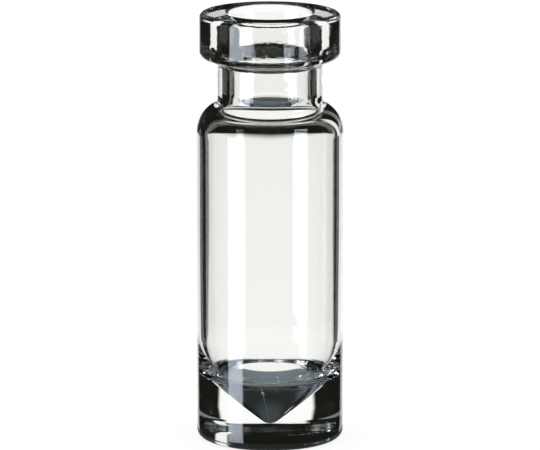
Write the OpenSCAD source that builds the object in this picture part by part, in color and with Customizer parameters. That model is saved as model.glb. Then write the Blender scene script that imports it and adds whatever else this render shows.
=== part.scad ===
// Crimp-neck sample vial with a conical inside bottom, made in one piece of
// clear glass. Millimetres, +Z up, origin at the centre of the underside.
// The whole vial is one lathe form: the section of its wall, turned about the
// Z axis.

/* [Body] */
// Outside diameter of the body
body_od = 11.2; // [10.8:0.1:13]
// Wall of the body
body_wall = 0.68; // [0.5:0.02:1]
// Height from the underside to the rim
height = 33; // [30:0.5:45]

/* [Solid base] */
// Radius of the heel around the underside
heel_r = 0.6; // [0.3:0.1:1.5]
// Height of the ledge's outer corner above the underside
ledge_z = 4.85; // [4.4:0.05:6]
// Radius inside the corner between the wall and the ledge
ledge_r = 0.9; // [0.2:0.1:1.1]
// Slope of the ledge, from the horizontal
ledge_slope = 13; // [4:1:20]
// How much the hollow's radius draws in towards the ledge
draw_in = 0.5; // [0.2:0.05:0.6]
// Height over which it draws in
draw_in_h = 1.85; // [1.7:0.05:3]
// Radius of the long bend where the draw-in leaves the wall
draw_in_r = 8; // [2:0.5:9]
// Diameter at the top of the cone
cone_d = 6.4; // [5:0.1:7.4]
// Radius around the top of the cone
cone_edge_r = 0.3; // [0.1:0.1:0.8]
// Slope of the cone, from the horizontal
cone_slope = 47; // [35:1:48]
// Radius of the cone's tip
tip_r = 0.5; // [0.2:0.1:0.8]

/* [Shoulder] */
// Slope of the shoulder, from the horizontal
shoulder_slope = 30; // [20:1:40]
// Radius outside, from the body to the shoulder
shoulder_r = 2.3; // [1.2:0.1:2.4]
// Radius outside, from the shoulder to the neck
throat_r = 0.6; // [0.3:0.1:1]
// Height of the glass between the hollow's upper corner and the outside one
shoulder_wall = 0.64; // [0.5:0.02:1.2]
// Radius inside the hollow's upper corner
inner_shoulder_r = 1.6; // [0.4:0.1:1.8]
// Radius inside, from the hollow to the neck
inner_throat_r = 1.7; // [0.3:0.1:2]

/* [Neck] */
// Outside diameter of the neck
neck_od = 8; // [7.6:0.1:8.4]
// Diameter of the bore
bore_d = 6.15; // [5.6:0.05:6.3]
// Height of the neck, from the shoulder's corner to the flange
neck_h = 3.05; // [2.6:0.05:5]

/* [Crimp flange] */
// Outside diameter of the flange
flange_od = 10.76; // [10.2:0.02:11.2]
// Height of the flange's side, down to its lower corner
flange_h = 3.36; // [2.8:0.02:4]
// Slope of the flange's underside, down to the neck
flange_slope = 20; // [0:1:30]
// Radius around the lower edge of the flange
flange_edge_r = 0.6; // [0.3:0.05:0.8]
// Radius between the flange and the neck
flange_fillet_r = 0.35; // [0.2:0.05:0.8]
// Radius around the outside of the rim
rim_r = 0.45; // [0.2:0.05:0.7]
// Radius around the mouth
mouth_r = 0.5; // [0.2:0.05:0.7]

/* [Hidden] */
$fn = 144;
arc_step = 6;   // degrees turned by each straight of a rounded corner

body_r = body_od / 2;
hollow_r = body_r - body_wall;
bore_r = bore_d / 2;
cone_r = cone_d / 2;
neck_r = neck_od / 2;
flange_r = flange_od / 2;

flange_z = height - flange_h;
flange_foot_z = flange_z - (flange_r - neck_r) * tan(flange_slope);
neck_z = flange_foot_z - neck_h;
shoulder_z = neck_z - (body_r - neck_r) * tan(shoulder_slope);
hollow_top_z = shoulder_z - shoulder_wall;
throat_z = hollow_top_z + (hollow_r - bore_r) * tan(shoulder_slope);
foot_r = hollow_r - draw_in;
cone_z = ledge_z - (foot_r - cone_r) * tan(ledge_slope);
tip_corner = tip_r * tan(cone_slope / 2);
tip_z = cone_z - (cone_r - tip_corner) * tan(cone_slope);

// Corners of the glass wall's section as [radius, height, radius of the rounded
// corner], up the outside from the underside and down the inside to the tip
section = [
    [0, 0, 0],
    [body_r, 0, heel_r],
    [body_r, shoulder_z, shoulder_r],
    [neck_r, neck_z, throat_r],
    [neck_r, flange_foot_z, flange_fillet_r],
    [flange_r, flange_z, flange_edge_r],
    [flange_r, height, rim_r],
    [bore_r, height, mouth_r],
    [bore_r, throat_z, inner_throat_r],
    [hollow_r, hollow_top_z, inner_shoulder_r],
    [hollow_r, ledge_z + draw_in_h, draw_in_r],
    [foot_r, ledge_z, ledge_r],
    [cone_r, cone_z, cone_edge_r],
    [tip_corner, tip_z, tip_r],
    [0, tip_z, 0]
];

function place(corner) = [corner[0], corner[1]];
function unit(v) = v / norm(v);

// Points along a corner rounded to its radius; a sharp one is a single point
function rounded(before, corner, after) =
    let (
        p = place(corner),
        a = unit(place(before) - p),
        b = unit(place(after) - p),
        half = acos(a * b) / 2,
        r = corner[2],
        centre = p + unit(a + b) * r / sin(half),
        start = atan2(p[1] + a[1] * r / tan(half) - centre[1], p[0] + a[0] * r / tan(half) - centre[0]),
        side = a[0] * b[1] - a[1] * b[0] > 0 ? -1 : 1,
        turn = side * (180 - 2 * half),
        steps = ceil(abs(turn) / arc_step)
    )
    r == 0
        ? [p]
        : [for (i = [0:steps]) let (angle = start + turn * i / steps) centre + r * [cos(angle), sin(angle)]];

function outline(corners) =
    let (n = len(corners))
    [for (i = [0:n - 1]) each rounded(corners[(i + n - 1) % n], corners[i], corners[(i + 1) % n])];

module vial() {
    color([0.86, 0.9, 0.9, 0.45]) rotate_extrude() polygon(outline(section));
}

vial();
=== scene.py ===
# Crimp-neck sample vial in clear glass. The CAD solid gives its place and size; this script turns the
# same section into a smooth hot-formed wall, gives it a borosilicate glass and lights it from behind.
import math

import bpy
from mathutils import Matrix, Vector


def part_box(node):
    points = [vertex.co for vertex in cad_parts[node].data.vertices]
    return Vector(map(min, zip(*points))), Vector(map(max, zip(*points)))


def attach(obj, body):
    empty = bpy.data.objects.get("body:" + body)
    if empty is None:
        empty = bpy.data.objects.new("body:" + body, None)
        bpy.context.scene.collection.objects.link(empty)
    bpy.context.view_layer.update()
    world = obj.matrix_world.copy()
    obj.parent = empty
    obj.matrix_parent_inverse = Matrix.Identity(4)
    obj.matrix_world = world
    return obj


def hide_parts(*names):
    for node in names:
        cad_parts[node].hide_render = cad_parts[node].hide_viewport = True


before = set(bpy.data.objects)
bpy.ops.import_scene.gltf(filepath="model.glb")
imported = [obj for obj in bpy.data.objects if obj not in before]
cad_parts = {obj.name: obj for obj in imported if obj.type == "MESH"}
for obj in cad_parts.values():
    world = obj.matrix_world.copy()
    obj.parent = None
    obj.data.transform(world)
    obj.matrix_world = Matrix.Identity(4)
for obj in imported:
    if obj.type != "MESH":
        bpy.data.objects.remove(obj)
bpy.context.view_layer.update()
mm = 0.001
vialLow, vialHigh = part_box("vial")
vialHeight = vialHigh.z - vialLow.z
bodyRadius = min(vialHigh.x, -vialLow.x)
print("loaded the frame")


def hexToLinear(code):
    parts = [int(code[i:i + 2], 16) / 255 for i in (1, 3, 5)]
    return [p / 12.92 if p <= 0.04045 else ((p + 0.055) / 1.055) ** 2.4 for p in parts] + [1.0]


def addNode(tree, kind, settings=None, inputs=None):
    # inputs: socket name or number -> a value, or another node or its socket to link
    node = tree.nodes.new(kind)
    for name, value in (settings or {}).items():
        setattr(node, name, value)
    for key, value in (inputs or {}).items():
        if isinstance(value, bpy.types.Node):
            value = value.outputs[0]
        if isinstance(value, bpy.types.NodeSocket):
            tree.links.new(value, node.inputs[key])
        else:
            node.inputs[key].default_value = value
    return node


# the CAD source's sizes, from the foot up; only the rounding inside the throat is 0.2 mm fuller
vial = {
    "bodyWall": 0.68 * mm,
    "heelRadius": 0.6 * mm,
    "ledgeHeight": 4.85 * mm,
    "ledgeRadius": 0.9 * mm,
    "ledgeSlope": math.radians(13),
    "drawIn": 0.5 * mm,
    "drawInRise": 1.85 * mm,
    "drawInRadius": 8.0 * mm,
    "coneDiameter": 6.4 * mm,
    "coneEdgeRadius": 0.3 * mm,
    "coneSlope": math.radians(47),
    "tipRadius": 0.5 * mm,
    "shoulderSlope": math.radians(30),
    "shoulderRadius": 2.3 * mm,
    "throatRadius": 0.6 * mm,
    "shoulderWall": 0.64 * mm,
    "innerShoulderRadius": 1.6 * mm,
    "innerThroatRadius": 1.9 * mm,
    "neckDiameter": 8.0 * mm,
    "boreDiameter": 6.15 * mm,
    "neckHeight": 3.05 * mm,
    "flangeDiameter": 10.76 * mm,
    "flangeHeight": 3.36 * mm,
    "flangeSlope": math.radians(20),
    "flangeEdgeRadius": 0.6 * mm,
    "flangeFilletRadius": 0.35 * mm,
    "rimRadius": 0.45 * mm,
    "mouthRadius": 0.5 * mm,
    "segments": 256,
    "cornerSteps": 18,
    "wallStep": 1.0 * mm,
    "axisRadius": 1e-6 * mm,
    "weldDistance": 1e-4 * mm,
}


def vialCorners():
    # (radius, height, rounding) of each corner, up the outside and down the inside to the tip
    v = vial
    hollow = bodyRadius - v["bodyWall"]
    bore, cone = v["boreDiameter"] / 2, v["coneDiameter"] / 2
    neck, flange = v["neckDiameter"] / 2, v["flangeDiameter"] / 2
    flangeZ = vialHeight - v["flangeHeight"]
    flangeFootZ = flangeZ - (flange - neck) * math.tan(v["flangeSlope"])
    neckZ = flangeFootZ - v["neckHeight"]
    shoulderZ = neckZ - (bodyRadius - neck) * math.tan(v["shoulderSlope"])
    hollowTopZ = shoulderZ - v["shoulderWall"]
    throatZ = hollowTopZ + (hollow - bore) * math.tan(v["shoulderSlope"])
    foot = hollow - v["drawIn"]
    coneZ = v["ledgeHeight"] - (foot - cone) * math.tan(v["ledgeSlope"])
    tipCorner = v["tipRadius"] * math.tan(v["coneSlope"] / 2)
    tipZ = coneZ - (cone - tipCorner) * math.tan(v["coneSlope"])
    return [
        (0, 0, 0),
        (bodyRadius, 0, v["heelRadius"]),
        (bodyRadius, shoulderZ, v["shoulderRadius"]),
        (neck, neckZ, v["throatRadius"]),
        (neck, flangeFootZ, v["flangeFilletRadius"]),
        (flange, flangeZ, v["flangeEdgeRadius"]),
        (flange, vialHeight, v["rimRadius"]),
        (bore, vialHeight, v["mouthRadius"]),
        (bore, throatZ, v["innerThroatRadius"]),
        (hollow, hollowTopZ, v["innerShoulderRadius"]),
        (hollow, v["ledgeHeight"] + v["drawInRise"], v["drawInRadius"]),
        (foot, v["ledgeHeight"], v["ledgeRadius"]),
        (cone, coneZ, v["coneEdgeRadius"]),
        (tipCorner, tipZ, v["tipRadius"]),
        (0, tipZ, 0),
    ]


def sectionCurve():
    corners = vialCorners()
    data = bpy.data.curves.new("vialSection", "CURVE")
    data.dimensions = "3D"
    spline = data.splines.new("POLY")
    spline.points.add(len(corners) - 1)
    for point, (radius, height, rounding) in zip(spline.points, corners):
        point.co = (radius, 0, height, 1)
        point.radius = rounding
    section = bpy.data.objects.new("vial_glass", data)
    bpy.context.collection.objects.link(section)
    return section


def latheTree(material):
    tree = bpy.data.node_groups.new("turnedGlass", "GeometryNodeTree")
    sockets = {}
    tree.interface.new_socket("Geometry", in_out="INPUT", socket_type="NodeSocketGeometry")
    for name, kind in (("Segments", "Int"), ("Corner Steps", "Int"), ("Wall Step", "Float")):
        sockets[name] = tree.interface.new_socket(name, in_out="INPUT", socket_type="NodeSocket" + kind)
    tree.interface.new_socket("Geometry", in_out="OUTPUT", socket_type="NodeSocketGeometry")
    given = addNode(tree, "NodeGroupInput")

    # round each corner of the section by its own radius
    cornerRadius = addNode(tree, "GeometryNodeInputRadius")
    rounded = addNode(tree, "GeometryNodeFilletCurve", {"mode": "POLY"}, {
        "Curve": given.outputs["Geometry"], "Count": given.outputs["Corner Steps"],
        "Radius": cornerRadius, "Limit Radius": True})

    # cut the long straights into even steps
    index = addNode(tree, "GeometryNodeInputIndex")
    following = addNode(tree, "ShaderNodeMath", {"operation": "ADD"}, {0: index, 1: 1.0})
    here = addNode(tree, "GeometryNodeInputPosition")
    there = addNode(tree, "GeometryNodeFieldAtIndex", {"data_type": "FLOAT_VECTOR", "domain": "POINT"}, {
        "Index": following, "Value": here})
    run = addNode(tree, "ShaderNodeVectorMath", {"operation": "DISTANCE"}, {0: here, 1: there})
    cuts = addNode(tree, "ShaderNodeMath", {"operation": "DIVIDE"}, {
        0: run.outputs["Value"], 1: given.outputs["Wall Step"]})
    section = addNode(tree, "GeometryNodeSubdivideCurve", inputs={"Curve": rounded, "Cuts": cuts})

    # turn the section about the axis
    flat = addNode(tree, "GeometryNodeTransform", inputs={
        "Geometry": section, "Rotation": (math.pi / 2, 0, 0)})
    axis = addNode(tree, "GeometryNodeCurvePrimitiveCircle", inputs={
        "Resolution": given.outputs["Segments"], "Radius": vial["axisRadius"]})
    upright = addNode(tree, "GeometryNodeSetCurveNormal", {"mode": "Z_UP"}, {"Curve": axis})
    turned = addNode(tree, "GeometryNodeCurveToMesh", inputs={"Curve": upright, "Profile Curve": flat})
    closed = addNode(tree, "GeometryNodeMergeByDistance", inputs={
        "Geometry": turned, "Distance": vial["weldDistance"]})
    outward = addNode(tree, "GeometryNodeFlipFaces", inputs={"Mesh": closed})
    smooth = addNode(tree, "GeometryNodeSetShadeSmooth", inputs={"Geometry": outward})
    real = addNode(tree, "GeometryNodeRealizeInstances", inputs={"Geometry": smooth})
    glazed = addNode(tree, "GeometryNodeSetMaterial", inputs={"Geometry": real, "Material": material})
    addNode(tree, "NodeGroupOutput", inputs={"Geometry": glazed})
    return tree, {name: socket.identifier for name, socket in sockets.items()}


# marks of the flame and the tools: faint lines along the drawn tube, fine rings on what was worked hot
glass = {
    "tint": (0.997, 1.0, 0.978, 1),
    "ior": 1.473,
    "drawStep": 0.7 * mm,
    "drawReach": 25.0 * mm,
    "drawDepth": 0.0006 * mm,
    "ringStep": 0.15 * mm,
    "ringReach": 0.4 * mm,
    "ringDepth": 0.006 * mm,
    "ringStart": (0.5 * mm, 2.0 * mm),
    "pressStep": 0.3 * mm,
    "pressDepth": 0.027 * mm,
    "pressSide": 4.95 * mm,
    "pressZone": (4.1 * mm, 4.5 * mm, 5.2 * mm, 6.2 * mm),
}


def borosilicateGlass():
    # borosilicate 3.3 glass, fire polished: clear and sharp, with the faintest yellow-green
    material = bpy.data.materials.new("borosilicateGlass")
    material.use_nodes = True
    tree = material.node_tree
    shader = tree.nodes["Principled BSDF"]
    shader.inputs["Base Color"].default_value = glass["tint"]
    shader.inputs["Roughness"].default_value = 0.0
    shader.inputs["IOR"].default_value = glass["ior"]
    shader.inputs["Transmission Weight"].default_value = 1.0

    place = addNode(tree, "ShaderNodeTexCoord").outputs["Object"]
    height = addNode(tree, "ShaderNodeSeparateXYZ", inputs={0: place}).outputs["Z"]
    level = addNode(tree, "ShaderNodeVectorMath", {"operation": "MULTIPLY"}, {0: place, 1: (1, 1, 0)})
    reach = addNode(tree, "ShaderNodeVectorMath", {"operation": "LENGTH"}, {0: level}).outputs["Value"]

    # drawn lines run up the tube
    long, wide = 1 / glass["drawReach"], 1 / glass["drawStep"]
    alongTube = addNode(tree, "ShaderNodeVectorMath", {"operation": "MULTIPLY"}, {
        0: place, 1: (wide, wide, long)})
    lines = addNode(tree, "ShaderNodeTexNoise", inputs={"Vector": alongTube, "Scale": 1.0, "Detail": 1.0})
    drawn = addNode(tree, "ShaderNodeMath", {"operation": "MULTIPLY"}, {0: lines, 1: glass["drawDepth"]})

    # fine rings go round the neck and the flange above the throat
    long, wide = 1 / glass["ringReach"], 1 / glass["ringStep"]
    acrossNeck = addNode(tree, "ShaderNodeVectorMath", {"operation": "MULTIPLY"}, {
        0: place, 1: (long, long, wide)})
    rings = addNode(tree, "ShaderNodeTexNoise", inputs={"Vector": acrossNeck, "Scale": 1.0, "Detail": 2.0})
    neckZ = vialHeight - vial["flangeHeight"] - vial["neckHeight"]
    start, full = glass["ringStart"]
    finish = addNode(tree, "ShaderNodeMapRange", {"interpolation_type": "SMOOTHSTEP"}, {
        0: height, 1: neckZ + start, 2: neckZ + full, 4: glass["ringDepth"]})
    finished = addNode(tree, "ShaderNodeMath", {"operation": "MULTIPLY_ADD"}, {
        0: rings, 1: finish, 2: drawn})

    # the plunger's rings follow the ledge, but not the outside of the base
    along = addNode(tree, "ShaderNodeMath", {"operation": "ADD"}, {0: reach, 1: height})
    steps = addNode(tree, "ShaderNodeMath", {"operation": "DIVIDE"}, {0: along, 1: glass["pressStep"]})
    prints = addNode(tree, "ShaderNodeTexNoise", {"noise_dimensions": "1D"}, {
        "W": steps, "Scale": 1.0, "Detail": 1.0})
    within = addNode(tree, "ShaderNodeMath", {"operation": "LESS_THAN"}, {0: reach, 1: glass["pressSide"]})
    low, full, high, clear = glass["pressZone"]
    foot = addNode(tree, "ShaderNodeMapRange", {"interpolation_type": "SMOOTHSTEP"}, {
        0: height, 1: low, 2: full})
    top = addNode(tree, "ShaderNodeMapRange", {"interpolation_type": "SMOOTHSTEP"}, {
        0: height, 1: clear, 2: high, 4: glass["pressDepth"]})
    zone = addNode(tree, "ShaderNodeMath", {"operation": "MULTIPLY"}, {0: foot, 1: top})
    depth = addNode(tree, "ShaderNodeMath", {"operation": "MULTIPLY"}, {0: within, 1: zone})
    surface = addNode(tree, "ShaderNodeMath", {"operation": "MULTIPLY_ADD"}, {
        0: prints, 1: depth, 2: finished})

    marks = addNode(tree, "ShaderNodeBump", inputs={"Height": surface, "Distance": 1.0, "Strength": 1.0})
    tree.links.new(marks.outputs[0], shader.inputs["Normal"])
    return material


def buildVial():
    section = sectionCurve()
    tree, ids = latheTree(borosilicateGlass())
    lathe = section.modifiers.new("lathe", "NODES")
    lathe.node_group = tree
    lathe[ids["Segments"]] = vial["segments"]
    lathe[ids["Corner Steps"]] = vial["cornerSteps"]
    lathe[ids["Wall Step"]] = vial["wallStep"]
    bpy.context.view_layer.update()
    evaluated = section.evaluated_get(bpy.context.evaluated_depsgraph_get())
    mesh = bpy.data.meshes.new_from_object(evaluated)
    bpy.data.objects.remove(section)
    piece = bpy.data.objects.new("vial_glass", mesh)
    bpy.context.collection.objects.link(piece)
    print("turned the glass:", len(mesh.vertices), "points")
    return piece


glassVial = buildVial()
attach(glassVial, "root")
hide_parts("vial")

view = {
    "azimuth": 225,
    "elevation": 11.87,
    "distance": 400 * mm,
    "focal": 348.9,
    "centre": vialHeight / 2,
    "clip": (0.01, 20),
}

# Angles in degrees, turned clockwise from the camera's line of sight, so 0 is straight behind the vial.
# A panel is its middle, half width, low end, high end, and the softness of its sides and of its ends.
studio = {
    "discSides": 96,
    "floorRadius": 3.0,
    "floorGlow": 0.85,
    "floorTone": 0.2,
    "flank": "#171914",
    "sheetHeights": (-12, -15),
    "sheetLeft": (-20, -30),
    "sheetRight": (26, 37),
    "sheetSoft": 2.0,
    "sheetTop": -6,
    "sheetRise": 0.25,
    "topSoft": 1.5,
    "sheetGlow": (-10, -14.5, 0.98, 1.07),
    "riser": (31, 5.5, -4, 33, 1.5, 2),
    "farSheets": [(180, 100, -60, 90, 2.5, 2), (0, 190, -95, -17, 2.5, 1)],
    "table": (0, 190, -95, -65, 2.5, 4),
    "leftBox": (-123.5, 12.5, -17, 3, 2, 2),
    "leftLight": 9.5,
    "rightBox": (125.5, 6.5, -13.2, -3, 2, 0.6),
    "rightLight": 6.0,
    "boxTint": "#E8F2FF",
    "shadeDrop": 0.02 * mm,
    "shadeBack": 7.8 * mm,
    "shadeSide": 6.8 * mm,
    # painted shade under the foot: radius in mm and tone, lighter middle for the cone's focused light,
    # darker ring, lighter outward
    "paintedShadeTones": [(1.2, "#3E474A"), (2.1, "#282C2A"), (3.0, "#2A2F2E"), (4.2, "#656F74"),
                   (6.4, "#717C84"), (7.8, "#7E888F")],
}


def studioWorld():
    world = bpy.data.worlds.new("studio")
    bpy.context.scene.world = world
    world.use_nodes = True
    tree = world.node_tree
    tree.nodes.clear()
    direction = addNode(tree, "ShaderNodeTexCoord").outputs["Generated"]
    turned = addNode(tree, "ShaderNodeVectorRotate", {"rotation_type": "Z_AXIS"}, {
        "Vector": direction, "Angle": -math.radians(view["azimuth"])})
    right, ahead, up = addNode(tree, "ShaderNodeSeparateXYZ", inputs={0: turned}).outputs
    bearing = addNode(tree, "ShaderNodeMath", {"operation": "ARCTAN2"}, {0: right, 1: ahead})
    around = addNode(tree, "ShaderNodeMath", {"operation": "DEGREES"}, {0: bearing})
    slope = addNode(tree, "ShaderNodeMath", {"operation": "ARCSINE"}, {0: up})
    height = addNode(tree, "ShaderNodeMath", {"operation": "DEGREES"}, {0: slope})

    def panel(middle, half, low, high, sideSoft, endSoft):
        # 1 on the panel and 0 beside it
        apart = addNode(tree, "ShaderNodeMath", {"operation": "SUBTRACT"}, {0: around, 1: middle})
        aside = addNode(tree, "ShaderNodeMath", {"operation": "PINGPONG"}, {0: apart, 1: 180.0})
        wide = addNode(tree, "ShaderNodeMapRange", {"interpolation_type": "SMOOTHSTEP"}, {
            0: aside, 1: half + sideSoft, 2: half - sideSoft})
        lift = addNode(tree, "ShaderNodeMath", {"operation": "SUBTRACT"}, {0: height, 1: (low + high) / 2})
        level = addNode(tree, "ShaderNodeMath", {"operation": "ABSOLUTE"}, {0: lift})
        tall = addNode(tree, "ShaderNodeMapRange", {"interpolation_type": "SMOOTHSTEP"}, {
            0: level, 1: (high - low) / 2 + endSoft, 2: (high - low) / 2 - endSoft})
        return addNode(tree, "ShaderNodeMath", {"operation": "MULTIPLY"}, {0: wide, 1: tall})

    # the white sheet under and behind the vial opens out as the eye looks down on it
    upper, lower = studio["sheetHeights"]
    edges = [addNode(tree, "ShaderNodeMapRange", inputs={
        0: height, 1: upper, 2: lower, 3: studio[side][0], 4: studio[side][1]})
        for side in ("sheetLeft", "sheetRight")]
    pastLeft = addNode(tree, "ShaderNodeMath", {"operation": "SUBTRACT"}, {0: around, 1: edges[0]})
    pastRight = addNode(tree, "ShaderNodeMath", {"operation": "SUBTRACT"}, {0: edges[1], 1: around})
    inside = addNode(tree, "ShaderNodeMath", {"operation": "MINIMUM"}, {0: pastLeft, 1: pastRight})
    wide = addNode(tree, "ShaderNodeMapRange", {"interpolation_type": "SMOOTHSTEP"}, {
        0: inside, 1: -studio["sheetSoft"], 2: studio["sheetSoft"]})
    aside = addNode(tree, "ShaderNodeMath", {"operation": "ABSOLUTE"}, {0: around})
    top = addNode(tree, "ShaderNodeMath", {"operation": "MULTIPLY_ADD"}, {
        0: aside, 1: studio["sheetRise"], 2: studio["sheetTop"]})
    under = addNode(tree, "ShaderNodeMath", {"operation": "SUBTRACT"}, {0: top, 1: height})
    tall = addNode(tree, "ShaderNodeMapRange", {"interpolation_type": "SMOOTHSTEP"}, {
        0: under, 1: -studio["topSoft"], 2: studio["topSoft"]})
    white = addNode(tree, "ShaderNodeMath", {"operation": "MULTIPLY"}, {0: wide, 1: tall})
    white = addNode(tree, "ShaderNodeMath", {"operation": "MAXIMUM"}, {0: white, 1: panel(*studio["riser"])})

    # the far sheets back the vial for an eye on its other sides, and of these the glass mirrors only the
    # table; mirrored is 0 for light that only passes through and 1 once a surface has turned it back
    path = addNode(tree, "ShaderNodeLightPath")
    mirrored = addNode(tree, "ShaderNodeMath", {"operation": "MINIMUM"}, {
        0: path.outputs["Glossy Depth"], 1: 1.0})
    for sheet in studio["farSheets"]:
        seen = addNode(tree, "ShaderNodeMath", {"operation": "SUBTRACT"}, {0: panel(*sheet), 1: mirrored})
        white = addNode(tree, "ShaderNodeMath", {"operation": "MAXIMUM"}, {0: white, 1: seen})
    white = addNode(tree, "ShaderNodeMath", {"operation": "MAXIMUM"}, {0: white, 1: panel(*studio["table"])})

    # the open background and the floor's light are plain white
    plain = addNode(tree, "ShaderNodeMath", {"operation": "MAXIMUM"}, {
        0: path.outputs["Is Camera Ray"], 1: path.outputs["Is Diffuse Ray"]})
    white = addNode(tree, "ShaderNodeMath", {"operation": "MAXIMUM"}, {0: white, 1: plain})
    paper = addNode(tree, "ShaderNodeMix", {"data_type": "RGBA"}, {
        0: white, 6: hexToLinear(studio["flank"]), 7: (1, 1, 1, 1)})
    back, front, dim, full = studio["sheetGlow"]
    falloff = addNode(tree, "ShaderNodeMapRange", inputs={0: height, 1: back, 2: front, 3: dim, 4: full})
    glow = addNode(tree, "ShaderNodeMath", {"operation": "MAXIMUM"}, {0: falloff, 1: plain})
    sheets = addNode(tree, "ShaderNodeBackground", inputs={"Color": paper.outputs[2], "Strength": glow})

    # the boxes glare where the glass mirrors them and are plain white when seen straight through it
    boxes = 0.0
    for box, light in (("leftBox", "leftLight"), ("rightBox", "rightLight")):
        glare = addNode(tree, "ShaderNodeMath", {"operation": "MULTIPLY_ADD"}, {
            0: mirrored, 1: studio[light] - 1, 2: 1.0})
        boxes = addNode(tree, "ShaderNodeMath", {"operation": "MULTIPLY_ADD"}, {
            0: panel(*studio[box]), 1: glare, 2: boxes})
    hidden = addNode(tree, "ShaderNodeMath", {"operation": "SUBTRACT"}, {0: 1.0, 1: plain})
    strength = addNode(tree, "ShaderNodeMath", {"operation": "MULTIPLY"}, {0: boxes, 1: hidden})
    silk = addNode(tree, "ShaderNodeBackground", inputs={
        "Color": hexToLinear(studio["boxTint"]), "Strength": strength})
    both = addNode(tree, "ShaderNodeAddShader", inputs={0: sheets, 1: silk})
    addNode(tree, "ShaderNodeOutputWorld", inputs={0: both})


def disc(name, radius, height):
    count = studio["discSides"]
    turns = [2 * math.pi * i / count for i in range(count)]
    corners = [(radius * math.cos(t), radius * math.sin(t), height) for t in turns]
    mesh = bpy.data.meshes.new(name)
    mesh.from_pydata(corners, [], [range(count)])
    piece = bpy.data.objects.new(name, mesh)
    bpy.context.collection.objects.link(piece)
    return piece


def paleFloor():
    floor = disc("floor", studio["floorRadius"], 0)
    floor.visible_glossy = False
    floor.visible_transmission = False
    material = bpy.data.materials.new("paleFloor")
    material.use_nodes = True
    tree = material.node_tree
    tree.nodes.clear()
    tone = studio["floorTone"]
    glow = addNode(tree, "ShaderNodeEmission", inputs={
        "Color": (1, 1, 1, 1), "Strength": studio["floorGlow"]})
    lit = addNode(tree, "ShaderNodeBsdfDiffuse", inputs={"Color": (tone, tone, tone, 1)})
    both = addNode(tree, "ShaderNodeAddShader", inputs={0: glow, 1: lit})
    addNode(tree, "ShaderNodeOutputMaterial", inputs={0: both})
    floor.data.materials.append(material)


def contactShade():
    # painted shade: an emitting disc whose tones stand in for the table's shade around the foot, seen only
    # through the glass; lighter in the middle where the cone focuses light (painted light), darkest in a
    # ring around that, and lighter again outward
    shade = disc("contact_shade", studio["shadeBack"], -studio["shadeDrop"])
    shade.visible_camera = False
    shade.visible_diffuse = False
    shade.visible_shadow = False
    narrow = studio["shadeSide"] / studio["shadeBack"]
    across = math.radians(view["azimuth"])
    shade.data.transform(Matrix.Scale(narrow, 4, (math.cos(across), math.sin(across), 0)))
    material = bpy.data.materials.new("paintedTableShade")
    material.use_nodes = True
    tree = material.node_tree
    tree.nodes.clear()
    place = addNode(tree, "ShaderNodeTexCoord").outputs["Object"]
    reach = addNode(tree, "ShaderNodeVectorMath", {"operation": "LENGTH"}, {0: place}).outputs["Value"]
    share = addNode(tree, "ShaderNodeMath", {"operation": "DIVIDE"}, {0: reach, 1: studio["shadeBack"]})
    tones = addNode(tree, "ShaderNodeValToRGB", inputs={"Fac": share})
    stops = tones.color_ramp.elements
    while len(stops) < len(studio["paintedShadeTones"]):
        stops.new(1.0)
    for stop, (radius, tone) in zip(stops, studio["paintedShadeTones"]):
        stop.position = radius * mm / studio["shadeBack"]
        stop.color = hexToLinear(tone)
    # the painted shade glows with its own tones instead of being lit
    dim = addNode(tree, "ShaderNodeEmission", inputs={"Color": tones})
    addNode(tree, "ShaderNodeOutputMaterial", inputs={0: dim})
    shade.data.materials.append(material)


def addCamera():
    camera = bpy.data.objects.new("camera", bpy.data.cameras.new("camera"))
    bpy.context.collection.objects.link(camera)
    bpy.context.scene.camera = camera
    turn, tilt = math.radians(90 + view["azimuth"]), math.radians(view["elevation"])
    back = Vector((-math.cos(turn) * math.cos(tilt), -math.sin(turn) * math.cos(tilt), math.sin(tilt)))
    camera.location = Vector((0, 0, view["centre"])) + back * view["distance"]
    camera.rotation_euler = (-back).to_track_quat("-Z", "Y").to_euler()
    camera.data.lens = view["focal"]
    camera.data.clip_start, camera.data.clip_end = view["clip"]


studioWorld()
paleFloor()
contactShade()
addCamera()
scene = bpy.context.scene
scene.view_settings.view_transform = "Standard"
scene.cycles.max_bounces = 24
scene.cycles.transmission_bounces = 24
scene.cycles.glossy_bounces = 16
scene.cycles.caustics_reflective = False
scene.cycles.caustics_refractive = False
print("set the studio")
